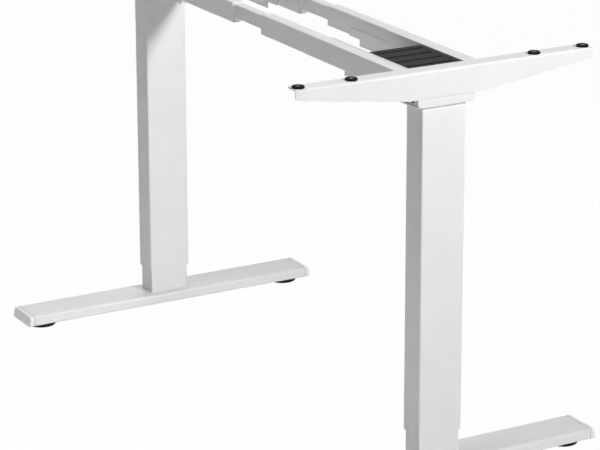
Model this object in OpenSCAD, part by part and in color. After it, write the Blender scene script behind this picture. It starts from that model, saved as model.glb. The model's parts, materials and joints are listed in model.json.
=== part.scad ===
// Height-adjustable standing desk frame: two telescopic columns on feet,
// joined by four outer rails that slide over two inner rails.
// Origin: on the floor, midway between the columns. +X runs along the rails,
// +Y along the feet, +Z up. Shown at its lowest and narrowest setting.

/* [Frame] */
// Distance between the two column axes
column_pitch = 1010; // [960:1:1100]
// Height of the side brackets' top face above the floor
top_h = 717; // [680:1:760]
// Thickness of the folded steel sheet
sheet_t = 2.5; // [2:0.1:3]

/* [Foot] */
// Width of the foot tube
foot_w = 78; // [70:1:90]
// Height of the foot tube
foot_h = 20; // [18:0.5:26]
// Length of the foot tube between its end caps
foot_l = 604; // [560:1:700]
// Outer corner radius of the foot tube
foot_r = 5; // [3:0.5:7]
// Wall of the foot tube
foot_wall = 2; // [1.5:0.1:2.5]
// Length of an end cap's straight sides
cap_side_l = 9.5; // [6:0.5:14]
// How far the end cap's face bows out
cap_bow = 3.5; // [2:0.5:8]
// How far the face's upper and lower edges lie back
cap_crown = 3; // [1:0.5:4]
// Depth of the end cap's plug inside the tube
cap_plug_l = 22; // [15:1:30]

/* [Levelling glides] */
// Height of the foot tube above the floor
glide_h = 10.5; // [9:0.5:14]
// Diameter of a glide's disc
glide_d = 55; // [45:1:60]
// Diameter of a glide's stud
stud_d = 8; // [6:0.5:10]
// Distance of a glide from the foot tube's end
glide_in = 32; // [30:1:60]

/* [Column] */
// Outer tube size along the rails
outer_x = 50; // [48:0.5:56]
// Outer tube size along the foot
outer_y = 85; // [80:0.5:90]
// Outer corner radius of the outer tube
tube_r = 3.5; // [3.2:0.1:4.5]
// Wall of both column tubes
tube_wall = 1.5; // [1.2:0.1:1.8]
// Space between the two tubes on each side
tube_gap = 1.5; // [1:0.1:2]
// Length of inner tube that shows at the lowest setting
inner_show = 48; // [30:1:80]
// Space above the inner tube at the lowest setting
inner_head_room = 9; // [6:1:20]
// Height of each plastic guide between the tubes
guide_h = 40; // [30:1:60]
// Thickness of the plates welded into the tube ends
end_plate_t = 8; // [6:0.5:10]

/* [Drive] */
// Diameter of the spindle
spindle_d = 12; // [10:0.5:16]
// Diameter of the motor
motor_d = 42; // [36:1:44]
// Length of the motor
motor_l = 96; // [70:1:100]
// Room between the gearbox and the head's outer wall
gearbox_side = 3; // [2:0.5:8]

/* [Head] */
// Height of the head's underside below the brackets' top face
head_drop = 62; // [60:0.5:66]
// Distance from the column axis to the head's outer wall
head_x = 33.5; // [33:0.5:36]
// Chamfer on the lower corners of the head's outer wall
head_chamfer = 5; // [3:0.5:8]
// How far the bottom plate stands out below the rails
plate_lip = 2; // [0.5:0.5:4]
// How far the motor pan lies above the head's underside
pan_step = 3; // [2.6:0.1:5]
// Length of the motor pan, measured from the column axis
pan_x = 203; // [180:1:240]
// Depth of the motor cover's end, measured from the column axis
cover_x = 140; // [138:1:160]
// How far the motor cover lies below the rails' top faces
cover_sink = 3.5; // [2:0.5:5]
// Distance between the motor cover's grooves
groove_pitch = 32.4; // [28:0.1:40]
// Width of a groove
groove_w = 6.5; // [3:0.5:8]
// Depth of a groove
groove_depth = 3.6; // [2:0.1:3.8]

/* [Side arms] */
// Length of a side arm, measured from the column axis
arm_x = 373; // [340:1:400]
// Where the arm reaches its full height
arm_full_x = 246; // [230:1:270]
// Where the arm drops below the rail
arm_drop_x = 337; // [300:1:338]
// How far the arm hangs below the rail
arm_hang = 12; // [6:0.5:14]
// Height of the arm's low end
arm_low_h = 15; // [13:0.5:18]

/* [Side brackets] */
// Length of a side bracket
bracket_l = 567; // [520:1:620]
// Width of its top flange
flange_w = 30; // [28:0.5:34]
// Height of its web at the middle
web_mid_h = 46.5; // [44:0.5:52]
// Height of its web at the ends
web_end_h = 17.5; // [16:0.5:24]
// Length of the web's level underside
web_flat_l = 146; // [130:1:170]
// Outer radius of its bend
bend_r = 4; // [3.2:0.1:5]
// Radius of its free corners
corner_r = 6; // [4:0.5:8]
// Distance of the outer pads from the bracket's ends
pad_end = 11.5; // [11.5:0.5:30]
// Distance between the two pads at each end
pad_pitch = 97; // [60:1:120]
// Distance of the pads from the web's outer face
pad_inset = 13.5; // [13:0.5:15]
// Diameter of a rubber pad
pad_d = 22.5; // [20:0.5:24]
// Height of a rubber pad above the flange
pad_h = 3.5; // [2.5:0.5:5]
// Diameter of the screw hole through a pad
pad_hole_d = 5.5; // [4.5:0.1:6]

/* [Rails] */
// Width of an outer rail
rail_w = 24; // [22:0.5:28]
// Height of an outer rail
rail_h = 36.5; // [34:0.5:38]
// Distance from the middle to an outer rail's inner face
rail_y = 55.5; // [54:0.5:58]
// Outer corner radius of an outer rail
rail_r = 2.5; // [2.2:0.1:3]
// Wall of the rails
rail_wall = 1.5; // [1.2:0.1:1.8]
// Distance between facing ends of the outer rails
rail_mouth_gap = 105; // [80:1:160]
// Distance from an inner rail's end to the head's outer wall
inner_rail_room = 88.5; // [80:0.5:110]
// Width of an inner rail
inner_rail_w = 19; // [18:0.1:19]
// Height of an inner rail
inner_rail_h = 25; // [22:0.5:26]
// How far the far rails' sleeves stand out of the rails
sleeve_out = 8; // [4:0.5:12]
// How far a rail sleeve reaches into the outer rail
sleeve_in = 40; // [30:1:45]

/* [Screws] */
// Diameter of the foot bolts
foot_bolt_d = 8; // [6:0.5:8]
// Diameter of the column screws
column_screw_d = 6; // [5:0.5:6]
// Diameter of the arm screws and the stop screws
arm_screw_d = 4; // [3:0.5:5]
// Diameter of the set screws that clamp the inner rails
clamp_screw_d = 6; // [5:0.5:8]

/* [Hidden] */
$fn = 48;

// Overrun of every cut
cut = 1;
// Gap between pieces that pass or seat without touching
gap = 0.3;
// Radial clearance of screws in their holes
screw_gap = 0.1;
// Radial clearance of running fits
run_gap = 0.05;

half_pitch = column_pitch / 2;
glide_y = foot_l / 2 - glide_in;
foot_top = glide_h + foot_h;
outer_bottom = foot_top + inner_show;
head_bottom = top_h - head_drop;
inner_x = outer_x - 2 * (tube_wall + tube_gap);
inner_y = outer_y - 2 * (tube_wall + tube_gap);
inner_tube_r = tube_r - tube_wall;
bore_r = 1;
inner_top = head_bottom - end_plate_t - inner_head_room;
guide_t = tube_gap - gap;

rail_top = top_h - sheet_t;
rail_bottom = rail_top - rail_h;
rail_mid_y = rail_y + rail_w / 2;
rail_mouth_x = rail_mouth_gap / 2 - half_pitch;
inner_rail_side = (rail_w - inner_rail_w) / 2;
inner_rail_top = rail_top - inner_rail_side;
inner_rail_bottom = inner_rail_top - inner_rail_h;
inner_rail_end_x = head_x - inner_rail_room;
inner_rail_l = 2 * (half_pitch + inner_rail_end_x);

arm_y = rail_y - sheet_t;
plate_top = head_bottom + sheet_t;
pan_bottom = head_bottom + pan_step;
pan_top = pan_bottom + sheet_t;
head_inner_x = head_x - sheet_t;
web_x = head_x + sheet_t;
cover_top = rail_top - cover_sink;
pad_far_y = bracket_l / 2 - pad_end;
pad_near_y = pad_far_y - pad_pitch;

// Rails and the head's outer wall stay clear of the bracket's inner bend
bend_room = bend_r - sheet_t + gap;
rail_end_x = head_x - bend_room;

cap_nose_l = cap_side_l + cap_bow;
cap_wall = 2.4;

// Glide: disc, shoulder and hub heights as shares of its height
glide_edge_share = 0.2;
glide_rim_share = 0.55;
glide_slope_share = 0.85;
glide_base_share = 0.94;
glide_hub_share = 0.5;
glide_top_share = 0.72;
glide_nut_h = 12;
glide_nut_d = 14;
stud_above = 2;

// Foot bolt places as shares of the inner tube's size
bolt_x_share = 0.26;
bolt_y_share = 0.34;
bolt_head_d = 13;
bolt_head_h = 6;
bolt_socket_d = 6;
bolt_socket_h = 3.5;
bolt_access_d = 17;

// Column screws, beside the gearbox
column_screw_x = 14;
column_screw_head_d = 10;
column_screw_head_h = 4;
column_screw_clear = 1;
column_screw_edge = 2;
column_screw_y = outer_y / 2 - tube_wall - column_screw_edge - column_screw_head_d / 2;

// Spindle, nut and drive
spindle_in = 20;
spindle_stop_d = 20;
spindle_stop_h = 5;
spindle_pass_d = 24;
spindle_foot_gap = 20;
nut_d = 30;
nut_h = 34;
nut_flange_h = 8;
gearbox_x = 2 * (head_inner_x - gearbox_side);
gearbox_y = 2 * (column_screw_y - column_screw_head_d / 2 - column_screw_clear);
gearbox_r = 6;
gearbox_room = 1;
gearbox_lid_h = 4;
gearbox_neck_d = 34;
gearbox_neck_l = 8;
motor_z = pan_top + motor_d / 2 + gap;
motor_lip_in = 4;
motor_lip_d = motor_d - 2 * motor_lip_in;
motor_lip_l = 4;
motor_boss_d = 12;
motor_boss_l = 3;

// Motor cover
cover_t = 5;
cover_wall = 2;
cover_skirt_h = 8;
cover_r = 3;
cover_lip = 6;
groove_first = 17.5;
groove_end = 6.7;
socket_w = 18;
socket_h = 11;
socket_z = 14;
socket_out = 3;
socket_wall = 1.6;

// Screws of the arms; a stop screw reaches into its rail and stops the inner rail
stop_screw_x = inner_rail_end_x + arm_screw_d / 2 + gap;
stop_screw_z = inner_rail_bottom + arm_screw_d;
arm_head_d = 7;
arm_head_h = 2.2;
arm_recess_d = 2.5;
arm_recess_h = 1.4;
head_tab_h = 16;
head_tab_x = 26;
head_screw_x = 18;
head_screw_z = 9.5;
head_screw_d = 6;
stop_screw_in = 5;

// Clamp screws and their nuts
clamp_shares = [0.1, 0.22];
clamp_nut_d = 11;
clamp_nut_h = 6;
clamp_socket_d = 3.5;
clamp_socket_h = 3;

// Rubber pads
pad_neck_d = 9;
pad_lip_d = 13;
pad_lip_h = 1.5;
pad_round = 1;

// Sleeve slots at its corners
sleeve_slot = 2;
sleeve_slot_l = 5;

module near_side() {
    translate([half_pitch, 0, 0]) children();
}

module far_side() {
    mirror([1, 0, 0]) near_side() children();
}

// Repeats its children on the -Y and the +Y side
module both_y() {
    children();
    mirror([0, 1, 0]) children();
}

// Rectangle with true round corners
module round_rect(w, h, r) {
    square([w - 2 * r, h], center = true);
    square([w, h - 2 * r], center = true);
    for (sx = [-1, 1])
        for (sy = [-1, 1])
            translate([sx * (w / 2 - r), sy * (h / 2 - r)]) circle(r);
}

module round_ring(w, h, r, wall) {
    difference() {
        round_rect(w, h, r);
        round_rect(w - 2 * wall, h - 2 * wall, max(r - wall, bore_r));
    }
}

// Turns a profile drawn in X and Z into a bar along Y, centred
module bar_y(l) {
    translate([0, l / 2, 0]) rotate([90, 0, 0]) linear_extrude(l) children();
}

// Turns a profile drawn in Y and Z into a bar along X, from x0 to x1
module bar_x(x0, x1) {
    translate([x0, 0, 0]) rotate([90, 0, 90]) linear_extrude(x1 - x0) children();
}

// Foot tube with holes for the bolts, their access and the glides
module foot() {
    color([0.95, 0.95, 0.95])
    difference() {
        translate([0, 0, glide_h + foot_h / 2]) bar_y(foot_l) round_ring(foot_w, foot_h, foot_r, foot_wall);
        bolt_places() {
            translate([0, 0, foot_top - foot_wall - cut])
                cylinder(d = foot_bolt_d + 2 * screw_gap, h = foot_wall + 2 * cut);
            translate([0, 0, glide_h - cut]) cylinder(d = bolt_access_d, h = foot_wall + 2 * cut);
        }
        both_y() translate([0, glide_y, glide_h - cut])
            cylinder(d = stud_d + 2 * gap, h = foot_wall + 2 * cut);
    }
}

module bolt_places() {
    for (sx = [-1, 1])
        for (sy = [-1, 1])
            translate([sx * inner_x * bolt_x_share, sy * inner_y * bolt_y_share, 0]) children();
}

// Body whose outer face bows in plan and is crowned in height
module cap_face() {
    bow_r = (pow(foot_w / 2, 2) + pow(cap_bow, 2)) / (2 * cap_bow);
    crown_r = (pow(foot_h / 2, 2) + pow(cap_crown, 2)) / (2 * cap_crown);
    translate([0, cap_nose_l - bow_r, 0]) rotate_extrude($fn = 180) intersection() {
        translate([bow_r - cap_nose_l - cut, -foot_h / 2 - cut])
            square([cap_nose_l + 2 * cut, foot_h + 2 * cut]);
        translate([bow_r - crown_r, 0]) circle(crown_r, $fn = 96);
    }
}

// Moulded end cap with a ribbed plug
module foot_cap() {
    plug_w = foot_w - 2 * (foot_wall + gap);
    plug_h = foot_h - 2 * (foot_wall + gap);
    color([0.93, 0.93, 0.93])
    translate([0, foot_l / 2, glide_h + foot_h / 2]) {
        intersection() {
            translate([0, (cap_nose_l + cut) / 2, 0]) bar_y(cap_nose_l + cut)
                round_rect(foot_w, foot_h, foot_r);
            cap_face();
        }
        difference() {
            translate([0, -cap_plug_l / 2, 0]) bar_y(cap_plug_l)
                round_rect(plug_w, plug_h, foot_r - foot_wall);
            translate([0, -cap_plug_l / 2 - cap_wall, 0]) bar_y(cap_plug_l) {
                for (i = [-1, 0, 1])
                    translate([i * (plug_w - cap_wall) / 3, 0])
                        square([(plug_w - cap_wall) / 3 - cap_wall, plug_h - 2 * cap_wall], center = true);
            }
        }
    }
}

module glide_nuts() {
    color([0.7, 0.7, 0.72])
    both_y() translate([0, glide_y, glide_h + foot_wall]) difference() {
        cylinder(d = glide_nut_d, h = glide_nut_h, $fn = 6);
        translate([0, 0, -cut]) cylinder(d = stud_d + 2 * run_gap, h = glide_nut_h + 2 * cut);
    }
}

// Levelling glide: moulded disc with its stud
module glide() {
    r = glide_d / 2;
    h = glide_h - gap;
    top = glide_h + foot_wall + glide_nut_h + stud_above;
    color([0.08, 0.08, 0.08])
    translate([0, glide_y, 0]) rotate_extrude($fn = 72)
        polygon([[0, 0], [r * glide_base_share, 0], [r, h * glide_edge_share], [r, h * glide_rim_share],
            [r * glide_top_share, h * glide_slope_share], [r * glide_hub_share, h * glide_slope_share],
            [r * glide_hub_share, h], [stud_d / 2, h], [stud_d / 2, top], [0, top]]);
}

// Inner tube with its welded base plate
module inner_tube() {
    color([0.9, 0.9, 0.9]) {
        translate([0, 0, foot_top]) linear_extrude(inner_top - foot_top)
            round_ring(inner_x, inner_y, inner_tube_r, tube_wall);
        difference() {
            translate([0, 0, foot_top]) linear_extrude(end_plate_t)
                round_rect(inner_x - tube_wall, inner_y - tube_wall, bore_r);
            bolt_places() translate([0, 0, foot_top - cut])
                cylinder(d = foot_bolt_d + 2 * screw_gap, h = end_plate_t + 2 * cut);
        }
    }
}

module foot_bolts() {
    head_top = foot_top - foot_wall;
    color([0.35, 0.35, 0.37])
    bolt_places() translate([0, 0, head_top - bolt_head_h]) difference() {
        union() {
            cylinder(d = bolt_head_d, h = bolt_head_h);
            cylinder(d = foot_bolt_d, h = bolt_head_h + foot_wall + end_plate_t);
        }
        translate([0, 0, -cut]) cylinder(d = bolt_socket_d, h = bolt_socket_h + cut, $fn = 6);
    }
}

// Plastic guide round the top of the inner tube
module upper_guide() {
    color([0.2, 0.2, 0.2])
    translate([0, 0, inner_top - guide_h]) linear_extrude(guide_h)
        round_ring(inner_x + 2 * guide_t, inner_y + 2 * guide_t, inner_tube_r + guide_t, guide_t);
}

// Plastic guide inside the bottom of the outer tube
module lower_guide() {
    color([0.2, 0.2, 0.2])
    translate([0, 0, outer_bottom]) linear_extrude(guide_h)
        round_ring(outer_x - 2 * tube_wall, outer_y - 2 * tube_wall, inner_tube_r, guide_t);
}

module spindle_nut() {
    color([0.85, 0.8, 0.6])
    difference() {
        union() {
            translate([0, 0, inner_top - nut_flange_h]) linear_extrude(nut_flange_h)
                round_rect(inner_x - 2 * tube_wall, inner_y - 2 * tube_wall, bore_r);
            translate([0, 0, inner_top - nut_h]) cylinder(d = nut_d, h = nut_h);
        }
        translate([0, 0, inner_top - nut_h - cut])
            cylinder(d = spindle_d + 2 * run_gap, h = nut_h + 2 * cut);
    }
}

module spindle() {
    low = foot_top + end_plate_t + spindle_foot_gap;
    color([0.65, 0.65, 0.68]) {
        translate([0, 0, low]) cylinder(d = spindle_d, h = plate_top + spindle_in - low);
        translate([0, 0, low]) cylinder(d = spindle_stop_d, h = spindle_stop_h);
    }
}

// Outer tube with the plate welded into its top
module outer_tube() {
    color([0.95, 0.95, 0.95]) {
        translate([0, 0, outer_bottom]) linear_extrude(head_bottom - outer_bottom)
            round_ring(outer_x, outer_y, tube_r, tube_wall);
        difference() {
            translate([0, 0, head_bottom - end_plate_t]) linear_extrude(end_plate_t)
                round_rect(outer_x - tube_wall, outer_y - tube_wall, bore_r);
            translate([0, 0, head_bottom - end_plate_t - cut]) {
                cylinder(d = spindle_pass_d, h = end_plate_t + 2 * cut);
                column_screw_places() cylinder(d = column_screw_d + 2 * screw_gap, h = end_plate_t + 2 * cut);
            }
        }
    }
}

module column_screw_places() {
    for (sx = [-1, 1])
        for (sy = [-1, 1])
            translate([sx * column_screw_x, sy * column_screw_y, 0]) children();
}

module column_screws() {
    color([0.35, 0.35, 0.37])
    column_screw_places() translate([0, 0, head_bottom - end_plate_t]) difference() {
        union() {
            cylinder(d = column_screw_d, h = end_plate_t + sheet_t);
            translate([0, 0, end_plate_t + sheet_t])
                cylinder(d = column_screw_head_d, h = column_screw_head_h);
        }
        translate([0, 0, end_plate_t + sheet_t + column_screw_head_h / 2])
            cylinder(d = column_screw_d / 2, h = column_screw_head_h, $fn = 6);
    }
}

// Folded head: bottom plate, outer wall, side tabs and the stepped motor pan
module head() {
    color([0.94, 0.94, 0.94])
    difference() {
        union() {
            translate([0, 0, head_bottom]) linear_extrude(sheet_t) plate_plan();
            bar_x(head_inner_x, head_x) polygon([
                [-rail_y + head_chamfer, head_bottom], [rail_y - head_chamfer, head_bottom],
                [rail_y, head_bottom + head_chamfer], [rail_y, rail_top - bend_room],
                [-rail_y, rail_top - bend_room], [-rail_y, head_bottom + head_chamfer]]);
            translate([-head_x, -arm_y, head_bottom]) cube([sheet_t, 2 * arm_y, pan_step + sheet_t]);
            translate([-pan_x, -arm_y, pan_bottom]) cube([pan_x - head_x + sheet_t, 2 * arm_y, sheet_t]);
            both_y() translate([-head_tab_x, arm_y - sheet_t, head_bottom])
                cube([2 * head_tab_x, sheet_t, sheet_t + head_tab_h]);
        }
        translate([0, 0, head_bottom - cut]) {
            cylinder(d = spindle_pass_d, h = sheet_t + 2 * cut);
            column_screw_places() cylinder(d = column_screw_d + 2 * screw_gap, h = sheet_t + 2 * cut);
        }
        head_screw_places() translate([0, arm_y - sheet_t - cut, 0]) rotate([-90, 0, 0])
            cylinder(d = arm_screw_d + 2 * screw_gap, h = sheet_t + 2 * cut);
    }
}

// Bottom plate with its lip and chamfered corners
module plate_plan() {
    half_y = rail_y + plate_lip;
    side_y = rail_y - head_chamfer;
    end_x = head_x - head_chamfer;
    polygon([
        [-head_x, -side_y], [-end_x, -half_y], [end_x, -half_y], [head_x, -side_y],
        [head_x, side_y], [end_x, half_y], [-end_x, half_y], [-head_x, side_y]]);
}

module head_screw_places() {
    both_y() for (sx = [-1, 1])
        translate([sx * head_screw_x, 0, head_bottom + head_screw_z]) children();
}

module gearbox() {
    gearbox_h = cover_top - cover_t - gearbox_room - gearbox_lid_h - plate_top;
    color([0.25, 0.25, 0.26])
    difference() {
        union() {
            translate([0, 0, plate_top]) linear_extrude(gearbox_h)
                round_rect(gearbox_x, gearbox_y, gearbox_r);
            translate([0, 0, plate_top + gearbox_h]) linear_extrude(gearbox_lid_h)
                round_rect(gearbox_x - 2 * gearbox_r, gearbox_y - 2 * gearbox_r, gearbox_r);
            translate([-gearbox_x / 2 - gearbox_neck_l, 0, motor_z]) rotate([0, 90, 0])
                cylinder(d = gearbox_neck_d, h = gearbox_neck_l + gearbox_r);
        }
        translate([0, 0, plate_top - cut]) cylinder(d = spindle_d + 2 * run_gap, h = spindle_in + gap + cut);
    }
}

module motor() {
    color([0.6, 0.6, 0.62])
    translate([-gearbox_x / 2 - gearbox_neck_l, 0, motor_z]) rotate([0, -90, 0]) {
        cylinder(d = motor_d, h = motor_l - motor_lip_l - motor_boss_l);
        cylinder(d = motor_lip_d, h = motor_l - motor_boss_l);
        cylinder(d = motor_boss_d, h = motor_l);
    }
}

// Ribbed cover over the motor and gearbox
module motor_cover() {
    half_y = arm_y - sheet_t - gap;
    side_y = arm_y - gap;
    end_x = head_inner_x - gap;
    cover_low = cover_top - cover_t;
    color([0.1, 0.1, 0.1])
    difference() {
        union() {
            translate([(end_x - cover_x) / 2, 0, cover_low]) linear_extrude(cover_t)
                round_rect(end_x + cover_x, 2 * side_y, cover_r);
            translate([(end_x - cover_x) / 2, 0, cover_low - cover_skirt_h])
                linear_extrude(cover_skirt_h + cut)
                    round_ring(end_x + cover_x, 2 * side_y, cover_r, cover_wall);
            translate([-cover_x, -half_y, pan_top])
                cube([cover_wall, 2 * half_y, cover_low - pan_top + cut]);
            translate([-cover_x, -half_y, pan_top]) cube([cover_lip, 2 * half_y, cover_wall]);
            translate([-cover_x - socket_out, -socket_w / 2, pan_top + socket_z])
                cube([socket_out + cover_wall, socket_w, socket_h]);
        }
        for (x = [groove_first - cover_x : groove_pitch : end_x - groove_pitch / 2])
            translate([x - groove_w / 2, -side_y + groove_end, cover_top - groove_depth])
                cube([groove_w, 2 * (side_y - groove_end), groove_depth + cut]);
        translate([-cover_x - socket_out - cut, socket_wall - socket_w / 2, pan_top + socket_z + socket_wall])
            cube([socket_out + cut, socket_w - 2 * socket_wall, socket_h - 2 * socket_wall]);
    }
}

// Side arm: stepped plate between the head and the rail
module arm() {
    color([0.92, 0.92, 0.92])
    difference() {
        translate([0, rail_y, 0]) rotate([90, 0, 0]) linear_extrude(sheet_t) polygon([
            [-arm_x, rail_bottom], [-arm_drop_x, rail_bottom], [-arm_drop_x, rail_bottom - arm_hang],
            [-pan_x, rail_bottom - arm_hang], [-pan_x, pan_bottom], [-head_x, pan_bottom],
            [-head_x, plate_top], [head_inner_x, plate_top], [head_inner_x, rail_top], [-arm_full_x, rail_top],
            [-arm_full_x, rail_bottom + arm_low_h], [-arm_x, rail_bottom + arm_low_h]]);
        for (sx = [-1, 1])
            translate([sx * head_screw_x, arm_y - cut, head_bottom + head_screw_z]) rotate([-90, 0, 0])
                cylinder(d = arm_screw_d + 2 * screw_gap, h = sheet_t + 2 * cut);
        translate([stop_screw_x, arm_y - cut, stop_screw_z]) rotate([-90, 0, 0])
            cylinder(d = arm_screw_d + 2 * screw_gap, h = sheet_t + 2 * cut);
    }
}

// Screw along +Y with its head at the origin's -Y side
module arm_screw(head_d, l) {
    rotate([-90, 0, 0]) difference() {
        union() {
            translate([0, 0, -arm_head_h]) cylinder(d = head_d, h = arm_head_h);
            cylinder(d = arm_screw_d, h = l);
        }
        translate([0, 0, -arm_head_h - cut]) cylinder(d = arm_recess_d, h = arm_recess_h + cut, $fn = 6);
    }
}

module arm_screws() {
    color([0.12, 0.12, 0.12])
    both_y() {
        translate([stop_screw_x, arm_y, stop_screw_z])
            arm_screw(arm_head_d, sheet_t + rail_wall + stop_screw_in);
        for (sx = [-1, 1])
            translate([sx * head_screw_x, rail_y, head_bottom + head_screw_z]) mirror([0, 1, 0])
                arm_screw(head_screw_d, 2 * sheet_t);
    }
}

// Side view of a bracket's web: level middle, tapered ends, round lower corners
module web_outline() {
    half = bracket_l / 2;
    flat = web_flat_l / 2;
    low = top_h - web_mid_h;
    slope = atan((web_mid_h - web_end_h) / (half - flat));
    round_y = half - corner_r;
    round_z = low + (round_y - flat) * tan(slope) + corner_r / cos(slope);
    polygon([
        [-half, top_h], [-half, round_z],
        [-round_y - corner_r * sin(slope), round_z - corner_r * cos(slope)], [-flat, low],
        [flat, low], [round_y + corner_r * sin(slope), round_z - corner_r * cos(slope)],
        [half, round_z], [half, top_h]]);
    for (side = [-1, 1])
        translate([side * round_y, round_z]) circle(corner_r);
}

// Section of a bracket: flange and web with a round bend
module bracket_section() {
    translate([web_x - flange_w, top_h - sheet_t]) square([flange_w - bend_r, sheet_t]);
    translate([web_x - sheet_t, top_h - web_mid_h]) square([sheet_t, web_mid_h - bend_r]);
    translate([web_x - bend_r, top_h - bend_r]) intersection() {
        square([bend_r, bend_r]);
        difference() {
            circle(bend_r);
            circle(bend_r - sheet_t);
        }
    }
}

// Plan of a bracket: the flange's two free corners are round
module bracket_plan() {
    half = bracket_l / 2;
    translate([web_x - flange_w, -half + corner_r]) square([flange_w, bracket_l - 2 * corner_r]);
    translate([web_x - flange_w + corner_r, -half]) square([flange_w - corner_r, bracket_l]);
    for (side = [-1, 1])
        translate([web_x - flange_w + corner_r, side * (half - corner_r)]) circle(corner_r);
}

module side_bracket() {
    color([0.96, 0.96, 0.96])
    difference() {
        intersection() {
            bar_y(bracket_l) bracket_section();
            bar_x(web_x - flange_w - cut, web_x + cut) web_outline();
            translate([0, 0, top_h - web_mid_h - cut]) linear_extrude(web_mid_h + 2 * cut) bracket_plan();
        }
        pad_places() translate([0, 0, -sheet_t - cut])
            cylinder(d = pad_neck_d + 2 * screw_gap, h = sheet_t + 2 * cut);
    }
}

module pad_places() {
    for (y = [-pad_far_y, -pad_near_y, pad_near_y, pad_far_y])
        translate([web_x - pad_inset, y, top_h]) children();
}

// Rubber pads that clip into the bracket, each with a screw hole
module bracket_pads() {
    r = pad_d / 2;
    hole = pad_hole_d / 2;
    color([0.08, 0.08, 0.08])
    pad_places() rotate_extrude() polygon([
        [hole, -sheet_t - pad_lip_h], [pad_lip_d / 2, -sheet_t - pad_lip_h], [pad_lip_d / 2, -sheet_t],
        [pad_neck_d / 2, -sheet_t], [pad_neck_d / 2, 0], [r, 0], [r, pad_h - pad_round],
        [r - pad_round, pad_h], [hole, pad_h]]);
}

// Outer rail on the +Y side
module rail() {
    color([0.95, 0.95, 0.95])
    difference() {
        bar_x(rail_mouth_x, rail_end_x) translate([rail_mid_y, rail_top - rail_h / 2])
            round_ring(rail_w, rail_h, rail_r, rail_wall);
        clamp_places() translate([0, 0, rail_bottom - cut])
            cylinder(d = clamp_screw_d + 2 * screw_gap, h = rail_wall + 2 * cut);
        translate([stop_screw_x, rail_y - cut, stop_screw_z]) rotate([-90, 0, 0])
            cylinder(d = arm_screw_d + 2 * screw_gap, h = rail_wall + 2 * cut);
    }
}

module clamp_places() {
    for (share = clamp_shares)
        translate([rail_mouth_x + sleeve_in + share * (rail_end_x - rail_mouth_x), rail_mid_y, 0]) children();
}

// Plastic sleeves in the rail mouths, split at their corners
module rail_sleeves(out) {
    w = rail_w - 2 * rail_wall;
    h = rail_h - 2 * rail_wall;
    hole_w = inner_rail_w + 2 * gap;
    hole_h = inner_rail_h + 2 * gap;
    color([0.75, 0.75, 0.75])
    both_y() difference() {
        bar_x(rail_mouth_x - out, rail_mouth_x + sleeve_in)
            translate([rail_mid_y, rail_top - rail_h / 2]) difference() {
                round_rect(w, h, rail_r - rail_wall);
                translate([0, (rail_h - inner_rail_h) / 2 - inner_rail_side])
                    square([hole_w, hole_h], center = true);
            }
        for (side = [-1, 1])
            translate([rail_mouth_x - out - cut, rail_mid_y + side * w / 2 - sleeve_slot / 2,
                    rail_bottom + rail_wall - cut])
                cube([sleeve_slot_l + cut, sleeve_slot, sleeve_slot + 2 * cut]);
    }
}

module clamp_nuts() {
    color([0.7, 0.7, 0.72])
    both_y() clamp_places() translate([0, 0, rail_bottom + rail_wall]) difference() {
        cylinder(d = clamp_nut_d, h = clamp_nut_h, $fn = 6);
        translate([0, 0, -cut]) cylinder(d = clamp_screw_d + 2 * screw_gap, h = clamp_nut_h + 2 * cut);
    }
}

module clamp_screws() {
    color([0.12, 0.12, 0.12])
    both_y() clamp_places() translate([0, 0, rail_bottom]) difference() {
        cylinder(d = clamp_screw_d, h = inner_rail_bottom - rail_bottom - gap);
        translate([0, 0, -cut]) cylinder(d = clamp_socket_d, h = clamp_socket_h + cut, $fn = 6);
    }
}

// Inner rail on the +Y side
module inner_rail() {
    color([0.9, 0.9, 0.9])
    bar_x(-inner_rail_l / 2, inner_rail_l / 2)
        translate([rail_mid_y, inner_rail_bottom + inner_rail_h / 2])
            round_ring(inner_rail_w, inner_rail_h, rail_r, rail_wall);
}

module near_foot() { near_side() foot(); }
module far_foot() { far_side() foot(); }
module near_cap_front() { near_side() mirror([0, 1, 0]) foot_cap(); }
module far_cap_front() { far_side() mirror([0, 1, 0]) foot_cap(); }
module near_cap_back() { near_side() foot_cap(); }
module far_cap_back() { far_side() foot_cap(); }
module near_glide_nuts() { near_side() glide_nuts(); }
module far_glide_nuts() { far_side() glide_nuts(); }
module near_glide_front() { near_side() mirror([0, 1, 0]) glide(); }
module far_glide_front() { far_side() mirror([0, 1, 0]) glide(); }
module near_glide_back() { near_side() glide(); }
module far_glide_back() { far_side() glide(); }
module near_inner_tube() { near_side() inner_tube(); }
module far_inner_tube() { far_side() inner_tube(); }
module near_foot_bolts() { near_side() foot_bolts(); }
module far_foot_bolts() { far_side() foot_bolts(); }
module near_upper_guide() { near_side() upper_guide(); }
module far_upper_guide() { far_side() upper_guide(); }
module near_spindle_nut() { near_side() spindle_nut(); }
module far_spindle_nut() { far_side() spindle_nut(); }
module near_spindle() { near_side() spindle(); }
module far_spindle() { far_side() spindle(); }
module near_outer_tube() { near_side() outer_tube(); }
module far_outer_tube() { far_side() outer_tube(); }
module near_lower_guide() { near_side() lower_guide(); }
module far_lower_guide() { far_side() lower_guide(); }
module near_head() { near_side() head(); }
module far_head() { far_side() head(); }
module near_column_screws() { near_side() column_screws(); }
module far_column_screws() { far_side() column_screws(); }
module near_gearbox() { near_side() gearbox(); }
module far_gearbox() { far_side() gearbox(); }
module near_motor() { near_side() motor(); }
module far_motor() { far_side() motor(); }
module near_motor_cover() { near_side() motor_cover(); }
module far_motor_cover() { far_side() motor_cover(); }
module near_arm_front() { near_side() mirror([0, 1, 0]) arm(); }
module far_arm_front() { far_side() mirror([0, 1, 0]) arm(); }
module near_arm_back() { near_side() arm(); }
module far_arm_back() { far_side() arm(); }
module near_arm_screws() { near_side() arm_screws(); }
module far_arm_screws() { far_side() arm_screws(); }
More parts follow.
